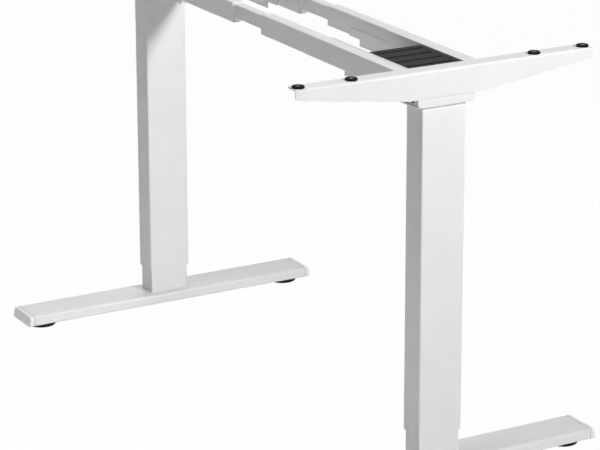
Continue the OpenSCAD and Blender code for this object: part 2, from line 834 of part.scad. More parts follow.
module near_side_bracket() { near_side() side_bracket(); }
module far_side_bracket() { far_side() side_bracket(); }
module near_bracket_pads() { near_side() bracket_pads(); }
module far_bracket_pads() { far_side() bracket_pads(); }
module near_rail_front() { near_side() mirror([0, 1, 0]) rail(); }
module far_rail_front() { far_side() mirror([0, 1, 0]) rail(); }
module near_rail_back() { near_side() rail(); }
module far_rail_back() { far_side() rail(); }
module near_rail_sleeves() { near_side() rail_sleeves(0); }
module far_rail_sleeves() { far_side() rail_sleeves(sleeve_out); }
module near_clamp_nuts() { near_side() clamp_nuts(); }
module far_clamp_nuts() { far_side() clamp_nuts(); }
module near_clamp_screws() { near_side() clamp_screws(); }
module far_clamp_screws() { far_side() clamp_screws(); }
module inner_rail_front() { mirror([0, 1, 0]) inner_rail(); }
module inner_rail_back() { inner_rail(); }

near_foot();
far_foot();
near_cap_front();
far_cap_front();
near_cap_back();
far_cap_back();
near_glide_nuts();
far_glide_nuts();
near_glide_front();
far_glide_front();
near_glide_back();
far_glide_back();
near_inner_tube();
far_inner_tube();
near_foot_bolts();
far_foot_bolts();
near_upper_guide();
far_upper_guide();
near_spindle_nut();
far_spindle_nut();
near_spindle();
far_spindle();
near_outer_tube();
far_outer_tube();
near_lower_guide();
far_lower_guide();
near_head();
far_head();
near_column_screws();
far_column_screws();
near_gearbox();
far_gearbox();
near_motor();
far_motor();
near_motor_cover();
far_motor_cover();
near_arm_front();
far_arm_front();
near_arm_back();
far_arm_back();
near_arm_screws();
far_arm_screws();
near_side_bracket();
far_side_bracket();
near_bracket_pads();
far_bracket_pads();
near_rail_front();
far_rail_front();
near_rail_back();
far_rail_back();
near_rail_sleeves();
far_rail_sleeves();
near_clamp_nuts();
far_clamp_nuts();
near_clamp_screws();
far_clamp_screws();
inner_rail_front();
inner_rail_back();
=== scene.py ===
import json
import math

import bmesh
import bpy
from mathutils import Euler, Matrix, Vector


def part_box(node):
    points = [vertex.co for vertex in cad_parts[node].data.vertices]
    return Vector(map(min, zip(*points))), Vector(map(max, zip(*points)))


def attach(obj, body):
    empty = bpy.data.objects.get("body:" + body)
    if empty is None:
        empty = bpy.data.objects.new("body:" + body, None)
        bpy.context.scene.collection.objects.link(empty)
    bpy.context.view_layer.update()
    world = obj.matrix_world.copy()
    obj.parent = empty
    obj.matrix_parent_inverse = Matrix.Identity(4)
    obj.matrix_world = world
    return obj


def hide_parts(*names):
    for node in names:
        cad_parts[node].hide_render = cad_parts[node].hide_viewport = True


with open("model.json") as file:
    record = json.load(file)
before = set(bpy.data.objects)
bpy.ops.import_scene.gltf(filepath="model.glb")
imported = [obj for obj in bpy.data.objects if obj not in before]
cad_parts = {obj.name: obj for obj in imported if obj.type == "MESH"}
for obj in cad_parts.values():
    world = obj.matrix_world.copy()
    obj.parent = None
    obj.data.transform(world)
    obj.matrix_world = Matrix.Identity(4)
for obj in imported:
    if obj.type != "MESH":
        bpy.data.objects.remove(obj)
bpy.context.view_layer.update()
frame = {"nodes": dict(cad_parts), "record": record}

MM = 0.001
SIDES = ("near", "far")
ENDS = {"front": -1, "back": 1}


# Material tools


# Most of a noise's values lie in the first span. The second holds the two ends of a colour ramp.
NOISE_SPAN = (0.35, 0.65)
TINT_SPAN = (0.3, 0.7)


class Shader:
    """A principled material with its node tree and a shared object coordinate."""

    def __init__(self, name):
        self.material = bpy.data.materials.new(name)
        self.material.use_nodes = True
        self.tree = self.material.node_tree
        self.bsdf = self.tree.nodes["Principled BSDF"]
        self.coord = self.node("ShaderNodeTexCoord").outputs["Object"]

    def node(self, kind, **sockets):
        """A new node. A socket's name is written with _ in place of a space."""
        made = self.tree.nodes.new(kind)
        for key, value in sockets.items():
            made.inputs[key.replace("_", " ")].default_value = value
        return made

    def link(self, source, target):
        self.tree.links.new(source, target)

    def set(self, **sockets):
        """Sets sockets of the principled node, with their names written as in node."""
        for key, value in sockets.items():
            self.bsdf.inputs[key.replace("_", " ")].default_value = value

    def noise(self, size, detail, stretch=(1, 1, 1)):
        """Noise whose blobs are about size metres across, drawn out along an axis by stretch."""
        mapping = self.node("ShaderNodeMapping")
        mapping.inputs["Scale"].default_value = [1 / s for s in stretch]
        self.link(self.coord, mapping.inputs["Vector"])
        made = self.node("ShaderNodeTexNoise", Scale=1 / size, Detail=detail)
        self.link(mapping.outputs["Vector"], made.inputs["Vector"])
        return made.outputs["Fac"]

    def remap(self, value, low, high, span=NOISE_SPAN):
        """A number that goes from low to high while value goes through span."""
        made = self.node("ShaderNodeMapRange")
        for key, number in zip(("From Min", "From Max", "To Min", "To Max"), (*span, low, high)):
            made.inputs[key].default_value = number
        self.link(value, made.inputs["Value"])
        return made.outputs["Result"]

    def tint(self, value, dark, light):
        """A colour that goes from dark to light with value."""
        made = self.node("ShaderNodeValToRGB")
        for element, position, colour in zip(made.color_ramp.elements, TINT_SPAN, (dark, light)):
            element.position = position
            element.color = (*colour, 1)
        self.link(value, made.inputs["Fac"])
        self.link(made.outputs["Color"], self.bsdf.inputs["Base Color"])

    def bump(self, *layers):
        """Stacks (value, height in metres) layers of bump."""
        last = None
        for value, height in layers:
            made = self.node("ShaderNodeBump", Strength=1.0, Distance=height)
            self.link(value, made.inputs["Height"])
            if last is not None:
                self.link(last, made.inputs["Normal"])
            last = made.outputs["Normal"]
        self.link(last, self.bsdf.inputs["Normal"])

    def roughness(self, value, low, high):
        """A roughness that goes from low to high with value."""
        self.link(self.remap(value, low, high), self.bsdf.inputs["Roughness"])


def greys(low, high):
    """A dark and a light neutral colour."""
    return (low, low, low), (high, high, high)


# Powder coat


COAT_TINTS = ((0.785, 0.785, 0.785), (0.815, 0.815, 0.812))
COAT_ROUGHNESS = (0.36, 0.46)
COAT_CLOUD = 90 * MM
COAT_PEEL = 0.9 * MM
COAT_PEEL_DEPTH = 0.012 * MM
COAT_GRAIN = 0.25 * MM
COAT_GRAIN_DEPTH = 0.004 * MM


def powder_coat(name):
    """Satin white powder coat: fine orange peel over a slow unevenness."""
    s = Shader(name)
    peel = s.noise(COAT_PEEL, detail=3.0)
    grain = s.noise(COAT_GRAIN, detail=1.0)
    cloud = s.noise(COAT_CLOUD, detail=3.0)
    s.tint(cloud, *COAT_TINTS)
    s.roughness(peel, *COAT_ROUGHNESS)
    s.bump((peel, COAT_PEEL_DEPTH), (grain, COAT_GRAIN_DEPTH))
    return s.material


# Moulded plastics and rubber


FLOW_SIZE = 14 * MM
FLOW_STRETCH = (1, 3, 1)
FLOW_DEPTH = 0.02 * MM
FINE_GRAIN = 0.35 * MM
FINE_DEPTH = 0.012 * MM
COARSE_GRAIN = 0.5 * MM
COARSE_DEPTH = 0.02 * MM
FULL_GLOSS = 0.5
DULL_GLOSS = 0.15
GRAIN_SMOOTHER = 0.05
GRAIN_ROUGHER = 0.07


def moulded(name, tints, rough, grain_size=FINE_GRAIN, depth=FINE_DEPTH, gloss=FULL_GLOSS):
    """Moulded plastic with a spark-eroded grain and faint flow marks."""
    s = Shader(name)
    s.set(Specular_IOR_Level=gloss)
    grain = s.noise(grain_size, detail=2.0)
    flow = s.noise(FLOW_SIZE, 3.0, FLOW_STRETCH)
    s.tint(flow, *tints)
    s.roughness(grain, rough - GRAIN_SMOOTHER, rough + GRAIN_ROUGHER)
    s.bump((grain, depth), (flow, FLOW_DEPTH))
    return s.material


# The dark tint is painted shade for the grooves, the light tint is the ribs' own black; flow marks shift a
# little between them.
COVER_TONE_AND_SHADE_TINTS = ((0.004, 0.004, 0.004), (0.022, 0.022, 0.023))
COVER_GLOSS = 0.1
COVER_ROUGHNESS = (0.65, 0.78)
COVER_GRAIN = 0.6 * MM
COVER_GRAIN_DEPTH = 0.02 * MM
# Depths under the ribs' tops where the painted groove shade is full and where it ends.
COVER_FULL_SHADE_BELOW = 1.6 * MM
COVER_NO_SHADE_ABOVE = 0.6 * MM
COVER_GROOVE_SHADE_LEVELS = (0.12, 0.9)
COVER_FLOW_TONE = 0.06


def cover_with_groove_shade(name, top):
    """Black cover plastic, matt on the ribs' tops at the height top, with painted shade that darkens the
    grooves below; flow marks vary the tone a little.
    """
    s = Shader(name)
    s.set(Specular_IOR_Level=COVER_GLOSS)
    grain = s.noise(COVER_GRAIN, detail=2.0)
    flow = s.noise(FLOW_SIZE, 3.0, FLOW_STRETCH)
    place = s.node("ShaderNodeSeparateXYZ")
    s.link(s.coord, place.inputs["Vector"])
    # Painted shade: the cover darkens with depth below the ribs' tops, into its grooves.
    shade_heights = (top - COVER_FULL_SHADE_BELOW, top - COVER_NO_SHADE_ABOVE)
    level = s.remap(place.outputs["Z"], *COVER_GROOVE_SHADE_LEVELS, shade_heights)
    speck = s.remap(flow, -COVER_FLOW_TONE, COVER_FLOW_TONE)
    shade_and_speck = s.node("ShaderNodeMath")
    s.link(level, shade_and_speck.inputs[0])
    s.link(speck, shade_and_speck.inputs[1])
    s.tint(shade_and_speck.outputs[0], *COVER_TONE_AND_SHADE_TINTS)
    s.roughness(grain, *COVER_ROUGHNESS)
    s.bump((grain, COVER_GRAIN_DEPTH), (flow, FLOW_DEPTH))
    return s.material


RUBBER_TINTS = greys(0.006, 0.011)
RUBBER_GLOSS = 0.08
RUBBER_ROUGHNESS = (0.62, 0.78)
RUBBER_BLOOM = 5 * MM
RUBBER_GRAIN = 0.3 * MM
RUBBER_GRAIN_DEPTH = 0.02 * MM


def rubber(name):
    """Matt rubber with a dusty bloom."""
    s = Shader(name)
    s.set(Specular_IOR_Level=RUBBER_GLOSS)
    bloom = s.noise(RUBBER_BLOOM, detail=4.0)
    grain = s.noise(RUBBER_GRAIN, detail=2.0)
    s.tint(bloom, *RUBBER_TINTS)
    s.roughness(bloom, *RUBBER_ROUGHNESS)
    s.bump((grain, RUBBER_GRAIN_DEPTH))
    return s.material


# Metals


PLATE_LINES = 0.4 * MM
PLATE_LINE_DEPTH = 0.006 * MM
PLATE_CLOUD = 12 * MM
PLATE_SMOOTHER = 0.06
PLATE_ROUGHER = 0.08
DRAWN_ALONG_X = (8, 1, 1)
DRAWN_ALONG_Z = (1, 1, 6)
GROUND_ACROSS_Z = (4, 4, 1)


def plated(name, tints, rough, stretch):
    """Plated or ground steel with fine lines that run the way of stretch."""
    s = Shader(name)
    lines = s.noise(PLATE_LINES, 2.0, stretch)
    cloud = s.noise(PLATE_CLOUD, detail=3.0)
    s.tint(cloud, *tints)
    s.set(Metallic=1.0)
    s.roughness(lines, rough - PLATE_SMOOTHER, rough + PLATE_ROUGHER)
    s.bump((lines, PLATE_LINE_DEPTH))
    return s.material


OXIDE_TINTS = ((0.012, 0.012, 0.013), (0.028, 0.028, 0.030))
OXIDE_METAL = 0.6
OXIDE_ROUGHNESS = (0.34, 0.5)
OXIDE_CLOUD = 2.5 * MM
OXIDE_GRAIN = 0.2 * MM
OXIDE_GRAIN_DEPTH = 0.006 * MM


def black_oxide(name):
    """Blackened screws with a slight oily sheen."""
    s = Shader(name)
    cloud = s.noise(OXIDE_CLOUD, detail=3.0)
    grain = s.noise(OXIDE_GRAIN, detail=2.0)
    s.tint(cloud, *OXIDE_TINTS)
    s.set(Metallic=OXIDE_METAL)
    s.roughness(cloud, *OXIDE_ROUGHNESS)
    s.bump((grain, OXIDE_GRAIN_DEPTH))
    return s.material


CAST_TINTS = ((0.20, 0.20, 0.21), (0.29, 0.29, 0.30))
CAST_METAL = 0.8
CAST_ROUGHNESS = (0.42, 0.58)
CAST_SKIN = 8 * MM
CAST_SKIN_DEPTH = 0.03 * MM
CAST_PITS = 0.5 * MM
CAST_PIT_DEPTH = 0.02 * MM


def die_cast(name):
    """Grey die-cast housing with a cool skin and small pits."""
    s = Shader(name)
    skin = s.noise(CAST_SKIN, detail=4.0)
    pits = s.noise(CAST_PITS, detail=2.0)
    s.tint(skin, *CAST_TINTS)
    s.set(Metallic=CAST_METAL)
    s.roughness(skin, *CAST_ROUGHNESS)
    s.bump((pits, CAST_PIT_DEPTH), (skin, CAST_SKIN_DEPTH))
    return s.material


# Finishes


IVORY_TINTS = ((0.70, 0.65, 0.50), (0.76, 0.71, 0.56))


def make_materials():
    """One material for each finish slot of the record."""
    return {
        "white_coat": powder_coat("white_coat_look"),
        "white_plastic": moulded("white_plastic_look", greys(0.88, 0.91), rough=0.42),
        "grey_plastic": moulded("grey_plastic_look", greys(0.84, 0.88), rough=0.5),
        "dark_plastic": moulded("dark_plastic_look", greys(0.05, 0.07), rough=0.45),
        "ivory_plastic": moulded("ivory_plastic_look", IVORY_TINTS, rough=0.4),
        "black_plastic": moulded(
            "black_plastic_look", greys(0.006, 0.010), rough=0.6,
            grain_size=COARSE_GRAIN, depth=COARSE_DEPTH, gloss=DULL_GLOSS),
        "cover_plastic": cover_with_groove_shade("cover_plastic_shaded_look", top=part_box("near_motor_cover")[1].z),
        "black_rubber": rubber("black_rubber_look"),
        "black_steel": black_oxide("black_steel_look"),
        "zinc_steel": plated("zinc_steel_look", greys(0.52, 0.64), rough=0.34, stretch=DRAWN_ALONG_Z),
        "bright_steel": plated("bright_steel_look", greys(0.56, 0.68), rough=0.22, stretch=GROUND_ACROSS_Z),
        "motor_steel": plated("motor_steel_look", greys(0.44, 0.54), rough=0.38, stretch=DRAWN_ALONG_X),
        "cast_alloy": die_cast("cast_alloy_look"),
    }


# CAD nodes


# Widths of the rounded edges in millimetres, by a node's name without its side.
# A node without a row here keeps its edges.
BEVELS = {
    "foot": 0.4, "inner_tube": 0.25, "outer_tube": 0.7, "head": 0.9, "motor_cover": 0.5,
    "arm_front": 0.35, "arm_back": 0.35, "side_bracket": 0.4, "rail_front": 0.2, "rail_back": 0.2,
    "rail_sleeves": 0.5, "gearbox": 1.0, "motor": 0.6, "arm_screws": 0.3, "clamp_screws": 0.4,
    "foot_bolts": 0.4, "column_screws": 0.3, "glide_nuts": 0.4, "clamp_nuts": 0.4,
    "spindle_nut": 0.5, "upper_guide": 0.2, "lower_guide": 0.2}
INNER_RAIL_ROW = "rail_front"
BEVEL_SEGMENTS = 2
BEVEL_ANGLE = math.radians(32)
FLAT_ANGLE = math.radians(0.3)
WELD_REACH = 0.001 * MM


def bevel_row(name):
    """The node's row in BEVELS. Only the inner rails belong to no side."""
    side, _, part = name.partition("_")
    return part if side in SIDES else INNER_RAIL_ROW


def soften(obj, width):
    """Welds the node's split faces, clears flat cuts and rounds its sharp edges, all as modifiers."""
    weld = obj.modifiers.new("weld", "WELD")
    weld.merge_threshold = WELD_REACH
    flat = obj.modifiers.new("flat", "DECIMATE")
    flat.decimate_type = "DISSOLVE"
    flat.angle_limit = FLAT_ANGLE
    bevel = obj.modifiers.new("bevel", "BEVEL")
    bevel.width = width * MM
    bevel.segments = BEVEL_SEGMENTS
    bevel.limit_method = "ANGLE"
    bevel.angle_limit = BEVEL_ANGLE
    bevel.harden_normals = False


def dress_nodes(looks):
    """Gives every CAD node the material of its slot, and softens the edges of each node that has a row in
    BEVELS.
    """
    slots = {row["node"]: row["material_slot"] for row in frame["record"]["subparts"]}
    for name, obj in frame["nodes"].items():
        obj.data.materials.clear()
        obj.data.materials.append(looks[slots[name]])
        row = bevel_row(name)
        if row in BEVELS:
            soften(obj, BEVELS[row])


# Mesh tools


SHARP_ANGLE = math.radians(38)
ROUND_SEGMENTS = 64
CORNER_STEPS = 8


def plain(angle):
    """No swell."""
    return 1.0


def ring(bm, centre, radius, height, segments, swell):
    """One closed ring of points; swell(angle) scales its radius."""
    points = []
    for k in range(segments):
        angle = 2 * math.pi * k / segments
        reach = radius * swell(angle)
        spot = Vector((reach * math.cos(angle), reach * math.sin(angle), height))
        points.append(bm.verts.new(centre + spot))
    return points


def bridge(bm, low, high):
    """A band of faces between two rings with as many points."""
    for k in range(len(low)):
        bm.faces.new((low[k], low[k - 1], high[k - 1], high[k]))


def loft(bm, rings, hollow=False):
    """Joins the rings in turn, then closes the two ends or, if hollow, joins the last to the first."""
    for low, high in zip(rings, rings[1:]):
        bridge(bm, low, high)
    if hollow:
        bridge(bm, rings[-1], rings[0])
    else:
        bm.faces.new(rings[0])
        bm.faces.new(rings[-1])


def revolve(bm, centre, profile, segments=ROUND_SEGMENTS, swells=None, hollow=False):
    """Turns (radius, height) points round an upright axis. swells gives the swell of some of them."""
    swells = swells or {}
    rings = []
    for number, (radius, height) in enumerate(profile):
        rings.append(ring(bm, centre, radius, height, segments, swells.get(number, plain)))
    loft(bm, rings, hollow)


def section(width, height, radius):
    """Outline of a rounded rectangle as points round its middle, across and up."""
    points = []
    for quarter, (sx, sz) in enumerate(((1, 1), (-1, 1), (-1, -1), (1, -1))):
        for k in range(CORNER_STEPS + 1):
            angle = math.radians(90) * (quarter + k / CORNER_STEPS)
            points.append((sx * (width / 2 - radius) + radius * math.cos(angle),
                           sz * (height / 2 - radius) + radius * math.sin(angle)))
    return points


def blend(start, end, share):
    """The outline that lies the given share of the way from start to end."""
    return [(a + share * (c - a), b + share * (d - b)) for (a, b), (c, d) in zip(start, end)]


def make_piece(name, bm, looks, slot, body, replaced=()):
    """Turns finished mesh code into an object that rides on a body."""
    bmesh.ops.recalc_face_normals(bm, faces=bm.faces)
    mesh = bpy.data.meshes.new(name)
    bm.to_mesh(mesh)
    bm.free()
    mesh.materials.append(looks[slot])
    mesh.polygons.foreach_set("use_smooth", [True] * len(mesh.polygons))
    mesh.set_sharp_from_angle(angle=SHARP_ANGLE)
    piece = bpy.data.objects.new(name, mesh)
    bpy.context.scene.collection.objects.link(piece)
    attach(piece, body)
    if replaced:
        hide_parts(*replaced)


# Bracket pads


PAD_SHARE = 0.93
PAD_PITCH = 97 * MM
PAD_NECK = 4.5 * MM
PAD_BORE = 2.75 * MM
PAD_SHEET = 2.5 * MM
PAD_LIP = 6.5 * MM
PAD_CHAMFER = 0.4 * MM
PAD_UNDERCUT = 0.3 * MM
EYELET_RIM = 3.4 * MM
EYELET_FLARE = 1.1
EYELET_ENTRY = 0.3 * MM
EYELET_SEAT = 1.3 * MM

# Points of the pad's rounded shoulder and of its ring groove, as shares of its radius and of its height
PAD_SHOULDER = ((1, 0.55), (0.985, 0.78), (0.94, 0.94), (0.87, 1))
PAD_GROOVE = ((0.74, 1), (0.71, 0.86), (0.62, 0.86), (0.59, 1))


def pad_measures(side):
    """The four pads' places on the bracket's top face, a pad's radius and height, and its neck's depth."""
    low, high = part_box(side + "_bracket_pads")
    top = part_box(side + "_side_bracket")[1].z
    cad_radius = (high.x - low.x) / 2
    middle = (low.x + high.x) / 2
    far = high.y - cad_radius
    places = [Vector((middle, y, top)) for y in (-far, PAD_PITCH - far, far - PAD_PITCH, far)]
    return places, cad_radius * PAD_SHARE, high.z - top, top - low.z


def make_pads(side, looks):
    """Rubber pads with a round rim, a ring groove and a neck that clips into the flange."""
    places, radius, height, depth = pad_measures(side)
    profile = [
        (PAD_BORE, -depth), (PAD_LIP - PAD_CHAMFER, -depth), (PAD_LIP, PAD_CHAMFER - depth),
        (PAD_LIP, -PAD_SHEET), (PAD_NECK, -PAD_SHEET), (PAD_NECK, 0),
        (radius - PAD_UNDERCUT, 0), (radius, PAD_CHAMFER)]
    profile += [(share * radius, rise * height) for share, rise in PAD_SHOULDER + PAD_GROOVE]
    profile += [
        (EYELET_FLARE * EYELET_RIM, height), (EYELET_RIM, height - EYELET_ENTRY),
        (EYELET_RIM, height - EYELET_SEAT), (PAD_BORE, height - EYELET_SEAT)]
    bm = bmesh.new()
    for place in places:
        revolve(bm, place, profile, hollow=True)
    replaced = [side + "_bracket_pads"]
    make_piece(side + "_pads_rubber", bm, looks, "black_rubber", side + "_top", replaced)


EYELET_SUNK = 0.7 * MM
EYELET_HEIGHT = 0.7 * MM
EYELET_PLAY = 0.1 * MM
EYELET_EDGE = 0.2 * MM
EYELET_CROWN = 0.4 * MM
EYELET_MOUTH = 0.5 * MM
EYELET_DISH = 0.3 * MM


def make_eyelets(side, looks):
    """Thin steel eyelets in the pads' screw holes."""
    places, _, height, _ = pad_measures(side)
    top = height - EYELET_SUNK
    outside = EYELET_RIM - EYELET_PLAY
    profile = [
        (PAD_BORE, top - EYELET_HEIGHT), (outside, top - EYELET_HEIGHT), (outside, top - EYELET_EDGE),
        (EYELET_RIM - EYELET_CROWN, top), (PAD_BORE + EYELET_MOUTH, top), (PAD_BORE, top - EYELET_DISH)]
    bm = bmesh.new()
    for place in places:
        revolve(bm, place, profile, hollow=True)
    make_piece(side + "_pad_eyelets", bm, looks, "zinc_steel", side + "_top")


# Foot end caps


FOOT_CORNER = 5 * MM
FOOT_WALL = 2.3 * MM
CAP_GAP = 1.1 * MM
CAP_SEAM_SHARES = (0.99, 0.97)
CAP_SEAM_EDGE = 0.3 * MM
CAP_ROUND_X = 2.4 * MM
CAP_ROUND_Z = 1.8 * MM
CAP_ROUND_STEPS = 6
CAP_BOW = 1.4 * MM
CAP_LEAN = 3.2 * MM
CAP_DOME = 0.35 * MM
CAP_FACE_SHARES = (0.9, 0.75, 0.55, 0.3)


def cap_nose(bm, centre, out, start, end, width, height):
    """Nose of a cap: the foot's section, rounded over into a bowed face that leans back at the top."""
    outline = section(width, height, FOOT_CORNER)
    face = end - CAP_BOW
    rings = []

    def lay(share_x, share_z, reach):
        """Adds the outline, scaled by the shares; reach(x, z) is how far out a point of it lies."""
        points = [(x * share_x, z * share_z) for x, z in outline]
        rings.append([bm.verts.new(centre + Vector((x, out * reach(x, z), z))) for x, z in points])

    def bow(x, z):
        return CAP_BOW * (1 - (2 * x / width) ** 2) - CAP_LEAN * (z / height + 0.5)

    lay(*CAP_SEAM_SHARES, lambda x, z: start)
    lay(1, 1, lambda x, z: start + CAP_SEAM_EDGE)
    for k in range(CAP_ROUND_STEPS + 1):
        angle = math.radians(90) * k / CAP_ROUND_STEPS
        share_x = 1 - 2 * CAP_ROUND_X * (1 - math.cos(angle)) / width
        share_z = 1 - 2 * CAP_ROUND_Z * (1 - math.cos(angle)) / height
        back = CAP_ROUND_X * (1 - math.sin(angle))
        lay(share_x, share_z, lambda x, z: face + bow(x, z) - back)
    for share in CAP_FACE_SHARES:
        share_x = share * (1 - 2 * CAP_ROUND_X / width)
        share_z = share * (1 - 2 * CAP_ROUND_Z / height)
        dome = CAP_DOME * (1 - share)
        lay(share_x, share_z, lambda x, z: face + bow(x, z) + dome)
    loft(bm, rings)


PLUG_LENGTH = 22 * MM
PLUG_WALL = 2.4 * MM
PLUG_BORE_CORNER = 0.6 * MM
PLUG_START = 2 * MM
PLUG_FIRST_RIB = 3 * MM
PLUG_RIB_PITCH = 4 * MM
PLUG_RIB_WIDTH = 1.5 * MM
PLUG_RIB_SWELL = 1.008
PLUG_VALLEY_SWELLS = (0.99, 0.99, 0.985)
PLUG_TIP_SHARES = (0.985, 0.95)


def plug_stations():
    """Depth and swell of the plug's rings: a plain start, then ribs with a valley behind each."""
    stations = [(0, 1), (PLUG_START, 1)]
    for k, valley in enumerate(PLUG_VALLEY_SWELLS):
        rib = PLUG_FIRST_RIB + k * PLUG_RIB_PITCH
        stations.append((rib, PLUG_RIB_SWELL))
        stations.append((rib + PLUG_RIB_WIDTH, PLUG_RIB_SWELL))
        stations.append((rib + 2 * PLUG_RIB_WIDTH, valley))
    return stations


def cap_plug(bm, centre, out, start, width, height):
    """Hollow plug of a cap, with small ribs that grip the tube's wall."""
    outside = section(width, height, FOOT_CORNER - FOOT_WALL)
    bore = section(width - 2 * PLUG_WALL, height - 2 * PLUG_WALL, PLUG_BORE_CORNER)
    rings = []

    def lay(outline, depth, share_x=1, share_z=1):
        """Adds the outline, scaled by the shares, at a depth in the tube."""
        points = [(x * share_x, z * share_z) for x, z in outline]
        rings.append([bm.verts.new(centre + Vector((x, out * (start - depth), z))) for x, z in points])

    for depth, swell in plug_stations():
        lay(outside, depth, share_z=swell)
    lay(outside, PLUG_LENGTH, *PLUG_TIP_SHARES)
    lay(bore, PLUG_LENGTH)
    lay(bore, 0)
    loft(bm, rings)


def make_cap(side, end, looks):
    """Foot end cap: rounded nose behind a narrow seam, and a ribbed plug in the tube."""
    node = side + "_cap_" + end
    low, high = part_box(node)
    foot_low, foot_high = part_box(side + "_foot")
    out = ENDS[end]
    centre = Vector(((low.x + high.x) / 2, 0, (foot_low.z + foot_high.z) / 2))
    width, height = foot_high.x - foot_low.x, foot_high.z - foot_low.z
    start = foot_high.y + CAP_GAP
    reach = high.y if out > 0 else -low.y
    bm = bmesh.new()
    cap_nose(bm, centre, out, start, reach, width, height)
    cap_plug(bm, centre, out, start, width - 2 * FOOT_WALL, height - 2 * FOOT_WALL)
    make_piece(side + "_" + end + "_cap", bm, looks, "white_plastic", side + "_base", [node])


# Sleeves of the far rails


RAIL_CORNER = 5 * MM
INNER_RAIL_CORNER = 2 * MM
SLEEVE_WALL = 1.6 * MM
SLEEVE_FIT = 0.1 * MM
SLEEVE_STEP = 3.2 * MM
SLEEVE_LIP = 0.5 * MM
SLEEVE_EDGE = 0.1 * MM
SLEEVE_TIP = 0.2 * MM
SLEEVE_TIP_SHARE = 0.4
THROAT_ROOM = 0.5 * MM
THROAT_CORNER = 2.2 * MM
HOLE_ROOM = 0.2 * MM
SLIT_END = 5 * MM
SLIT_CORNERS = (2, 3)
SLIT_MARGIN = 2


def sleeve_outlines(end):
    """The middle of a far rail's mouth, and the sleeve's outlines round it, as y and z."""
    low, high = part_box("far_rail_" + end)
    inner_low, inner_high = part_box("inner_rail_" + end)
    middle = Vector((high.x, (low.y + high.y) / 2, (low.z + high.z) / 2))
    drop = (inner_low.z + inner_high.z) / 2 - middle.z
    wide, tall = high.y - low.y, high.z - low.z
    inner_wide, inner_tall = inner_high.y - inner_low.y, inner_high.z - inner_low.z

    def in_rail(inset, corner):
        return section(wide - inset, tall - inset, corner)

    def round_inner_rail(room, corner):
        return [(y, z + drop) for y, z in section(inner_wide + room, inner_tall + room, corner)]

    return middle, {
        "tube": in_rail(SLEEVE_FIT, RAIL_CORNER),
        "shoulder": in_rail(SLEEVE_STEP, RAIL_CORNER - SLEEVE_STEP / 2),
        "bore": in_rail(2 * SLEEVE_WALL, RAIL_CORNER - SLEEVE_WALL),
        "throat": round_inner_rail(THROAT_ROOM, THROAT_CORNER),
        "hole": round_inner_rail(HOLE_ROOM, INNER_RAIL_CORNER),
    }


def in_slit(number):
    """True for the points of an outline that a slit draws in, in the middle of its lower corners."""
    corner, k = divmod(number, CORNER_STEPS + 1)
    return corner in SLIT_CORNERS and SLIT_MARGIN < k < CORNER_STEPS + 1 - SLIT_MARGIN


def far_sleeve(bm, end):
    """One sleeve: a collar in the rail, a shoulder and a funnel that closes on the inner rail."""
    middle, shapes = sleeve_outlines(end)
    tube, shoulder, bore = shapes["tube"], shapes["shoulder"], shapes["bore"]
    throat, hole = shapes["throat"], shapes["hole"]
    first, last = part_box("far_rail_sleeves")
    back, out = first.x - middle.x, last.x - middle.x
    funnel = blend(shoulder, throat, SLIT_END / out)
    lip = blend(throat, hole, SLEEVE_TIP_SHARE)
    rings = []

    def lay(x, outline, slit=False):
        """Adds the outline at a distance from the rail's mouth, drawn in at the slits if slit is set."""
        points = [throat[k] if slit and in_slit(k) else point for k, point in enumerate(outline)]
        rings.append([bm.verts.new(middle + Vector((x, y, z))) for y, z in points])

    lay(back, bore)
    lay(-SLEEVE_EDGE, bore)
    lay(SLEEVE_EDGE, tube)
    lay(SLEEVE_LIP, tube, slit=True)
    lay(SLEEVE_LIP + SLEEVE_EDGE, shoulder, slit=True)
    lay(SLIT_END, funnel, slit=True)
    lay(SLIT_END + SLEEVE_EDGE, funnel)
    lay(out - SLEEVE_TIP, throat)
    lay(out, lip)
    lay(out, hole)
    lay(back, hole)
    loft(bm, rings, hollow=True)


def make_far_sleeves(looks):
    """The sleeves in the far rails' mouths, slit at their lower corners."""
    bm = bmesh.new()
    for end in ENDS:
        far_sleeve(bm, end)
    make_piece("far_rail_funnels", bm, looks, "grey_plastic", "far_top", ["far_rail_sleeves"])


# Levelling glides


GLIDE_SEGMENTS = 144
GLIDE_RIBS = 24
GLIDE_RIB_SHARE = 0.012
GLIDE_RIB_POWER = 3
GLIDE_DISC = 10.2 * MM
STUD_RADIUS = 4 * MM
STUD_PITCH = 1.25 * MM
STUD_THREAD = 0.6 * MM
STUD_COLLAR = 0.8 * MM
STUD_RELIEF = 0.3 * MM

# Points of the sole, as a share of the glide's radius and a height
GLIDE_SOLE = ((0.30, 0.8 * MM), (0.34, 0), (0.90, 0), (0.94, 0.3 * MM))

# Points of the rim and of the hub, as shares of the glide's radius and of its disc's height
GLIDE_RIM = ((0.99, 0.19), (1, 0.26), (1, 0.50))
GLIDE_HUB = (
    (0.985, 0.57), (0.93, 0.63), (0.76, 0.82), (0.71, 0.85), (0.53, 0.85), (0.50, 0.89), (0.495, 0.97),
    (0.47, 1))


def rib_swell(angle):
    """Small scallops for gripping the glide's rim."""
    return 1 - GLIDE_RIB_SHARE * (0.5 + 0.5 * math.cos(GLIDE_RIBS * angle)) ** GLIDE_RIB_POWER


def stud_points(top):
    """Points of the stud's thread from the disc up to the height top."""
    root = STUD_RADIUS - STUD_THREAD
    points = [(STUD_RADIUS + STUD_COLLAR, GLIDE_DISC), (root, GLIDE_DISC - STUD_RELIEF)]
    z = GLIDE_DISC
    while z + STUD_PITCH < top:
        points += [(STUD_RADIUS, z + STUD_PITCH / 2), (root, z + STUD_PITCH)]
        z += STUD_PITCH
    points.append((root, top))
    return points


